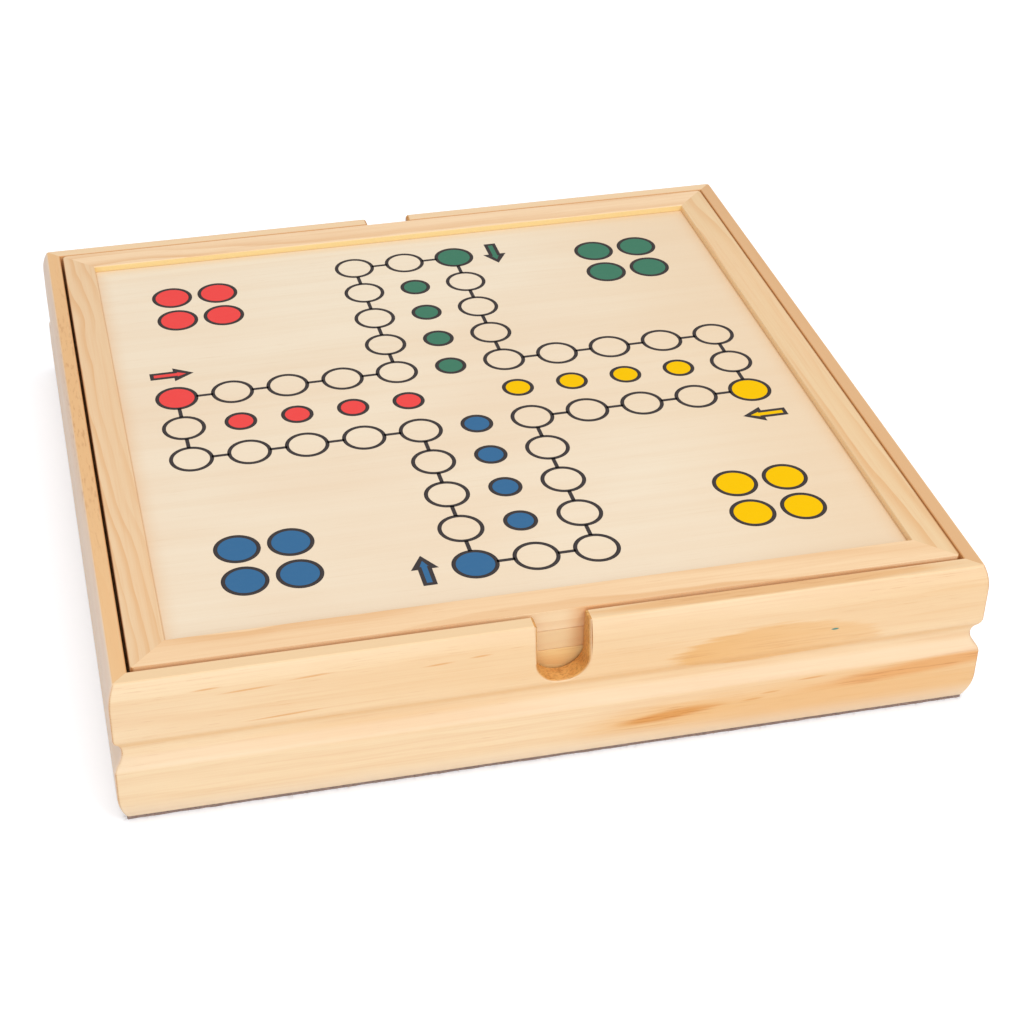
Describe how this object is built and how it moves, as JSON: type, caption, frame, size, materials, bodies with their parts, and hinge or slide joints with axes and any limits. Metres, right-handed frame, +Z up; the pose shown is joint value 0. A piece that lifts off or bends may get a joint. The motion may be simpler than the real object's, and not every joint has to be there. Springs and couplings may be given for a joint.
{
  "type": "ludo board box",
  "caption": "Shallow square wooden games box with moulded mitred walls, two lift-out framed boards, a printed ludo track on the top one and a felt underside.",
  "frame": {"origin": "middle of the felt underside, on the surface that the box stands on", "axes": "+Z up, +X to the right and +Y to the back, seen from the front finger notch with the red start field at the left"},
  "size_m": [0.3, 0.3, 0.0589],
  "materials": {
    "pine_walls": "clear lacquered pine, satin",
    "frame_pine": "clear lacquered pine, satin",
    "panel_ply": "pale plywood, printed and lacquered",
    "bottom_ply": "plywood, unfinished",
    "compartment_pine": "pine, thinly lacquered",
    "felt": "grey mauve felt with a cut edge",
    "red_paint": "red gloss paint on turned wood",
    "green_paint": "green gloss paint on turned wood",
    "yellow_paint": "yellow gloss paint on turned wood",
    "blue_paint": "blue gloss paint on turned wood",
    "dice_wood": "pale wood, polished",
    "light_men": "natural turned wood, lacquered",
    "dark_men": "dark stained turned wood, lacquered"
  },
  "bodies": {
    "box": {"back_wall": "pine_walls", "left_wall": "pine_walls", "front_wall": "pine_walls", "right_wall": "pine_walls", "bottom_panel": "bottom_ply", "felt_base": "felt", "back_tray_rail": "compartment_pine", "left_tray_rail": "compartment_pine", "front_tray_rail": "compartment_pine", "right_tray_rail": "compartment_pine", "front_long_divider": "compartment_pine", "back_long_divider": "compartment_pine", "left_cross_divider": "compartment_pine", "right_cross_divider": "compartment_pine", "red_pawn_1": "red_paint", "red_pawn_2": "red_paint", "red_pawn_3": "red_paint", "red_pawn_4": "red_paint", "green_pawn_1": "green_paint", "green_pawn_2": "green_paint", "green_pawn_3": "green_paint", "green_pawn_4": "green_paint", "yellow_pawn_1": "yellow_paint", "yellow_pawn_2": "yellow_paint", "yellow_pawn_3": "yellow_paint", "yellow_pawn_4": "yellow_paint", "blue_pawn_1": "blue_paint", "blue_pawn_2": "blue_paint", "blue_pawn_3": "blue_paint", "blue_pawn_4": "blue_paint", "die_1": "dice_wood", "die_2": "dice_wood", "light_men_stack_1": "light_men", "light_men_stack_2": "light_men", "light_men_stack_3": "light_men", "dark_men_stack_1": "dark_men", "dark_men_stack_2": "dark_men", "dark_men_stack_3": "dark_men"},
    "draughts_board": {"draughts_back_rail": "frame_pine", "draughts_left_rail": "frame_pine", "draughts_front_rail": "frame_pine", "draughts_right_rail": "frame_pine", "draughts_panel": "panel_ply"},
    "ludo_board": {"ludo_back_rail": "frame_pine", "ludo_left_rail": "frame_pine", "ludo_front_rail": "frame_pine", "ludo_right_rail": "frame_pine", "ludo_panel": "panel_ply"}
  },
  "joints": [
    {"name": "draughts_board_lift", "type": "slide", "parent": "box", "child": "draughts_board", "axis": [0, 0, 1], "range_m": [0, 0.07]},
    {"name": "ludo_board_lift", "type": "slide", "parent": "draughts_board", "child": "ludo_board", "axis": [0, 0, 1], "range_m": [0, 0.07]}
  ]
}
